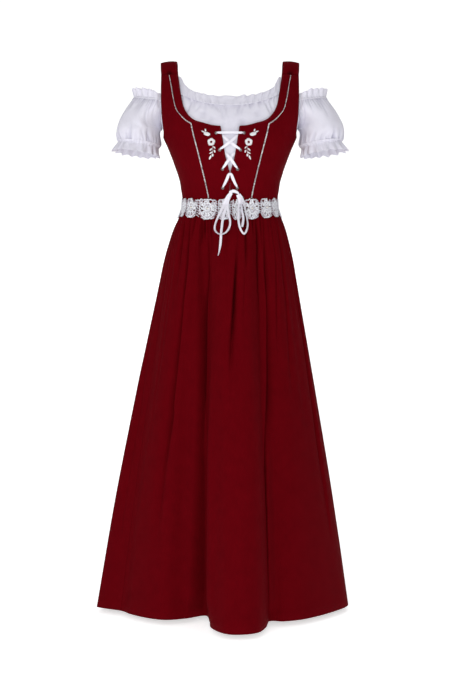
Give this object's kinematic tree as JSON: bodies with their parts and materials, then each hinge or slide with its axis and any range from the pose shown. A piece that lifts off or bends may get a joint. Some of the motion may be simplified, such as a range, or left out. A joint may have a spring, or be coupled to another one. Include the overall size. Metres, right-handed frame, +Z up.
{
  "type": "dirndl with off-shoulder blouse",
  "caption": "Full-length gathered dirndl with laced low-cut bodice, scalloped waist lace and bow, worn over a white off-shoulder blouse with puffed frilled sleeves.",
  "frame": {"origin": "midway between the two shoulder straps, at the height where they rest on the shoulders", "axes": "+Z up; the front of the dress faces -Y; +X is the wearer's left"},
  "size_m": [0.6076, 0.5764, 1.3084],
  "materials": {
    "dress_cloth": "deep red woven cloth, matt with a faint sheen",
    "blouse_cloth": "fine white cotton, matt",
    "lace": "off-white corded lace",
    "silver_braid": "silver-grey twisted braid",
    "ribbon": "white satin ribbon",
    "eyelet_metal": "dull nickel"
  },
  "bodies": {
    "root": {"bodice_front_left": "dress_cloth", "bodice_front_right": "dress_cloth", "bodice_side_left": "dress_cloth", "bodice_side_right": "dress_cloth", "bodice_back": "dress_cloth", "strap_left": "dress_cloth", "strap_right": "dress_cloth", "skirt_front": "dress_cloth", "skirt_back": "dress_cloth", "braid_left": "silver_braid", "braid_right": "silver_braid", "waist_lace_front": "lace", "waist_lace_back": "lace", "eyelet_left_1": "eyelet_metal", "eyelet_left_2": "eyelet_metal", "eyelet_left_3": "eyelet_metal", "eyelet_left_4": "eyelet_metal", "eyelet_right_1": "eyelet_metal", "eyelet_right_2": "eyelet_metal", "eyelet_right_3": "eyelet_metal", "eyelet_right_4": "eyelet_metal", "lacing_bar": "ribbon", "lacing_cross_1_left": "ribbon", "lacing_cross_1_right": "ribbon", "lacing_cross_2_left": "ribbon", "lacing_cross_2_right": "ribbon", "lacing_cross_3_left": "ribbon", "lacing_cross_3_right": "ribbon", "bow_knot": "ribbon", "bow_loop_left": "ribbon", "bow_loop_right": "ribbon", "bow_tail_left": "ribbon", "bow_tail_right": "ribbon", "blouse_front": "blouse_cloth", "blouse_back": "blouse_cloth", "neck_frill_front": "blouse_cloth", "neck_frill_back": "blouse_cloth", "neck_frill_left": "blouse_cloth", "neck_frill_right": "blouse_cloth", "sleeve_left": "blouse_cloth", "sleeve_right": "blouse_cloth", "cuff_frill_left": "blouse_cloth", "cuff_frill_right": "blouse_cloth"}
  },
  "joints": []
}
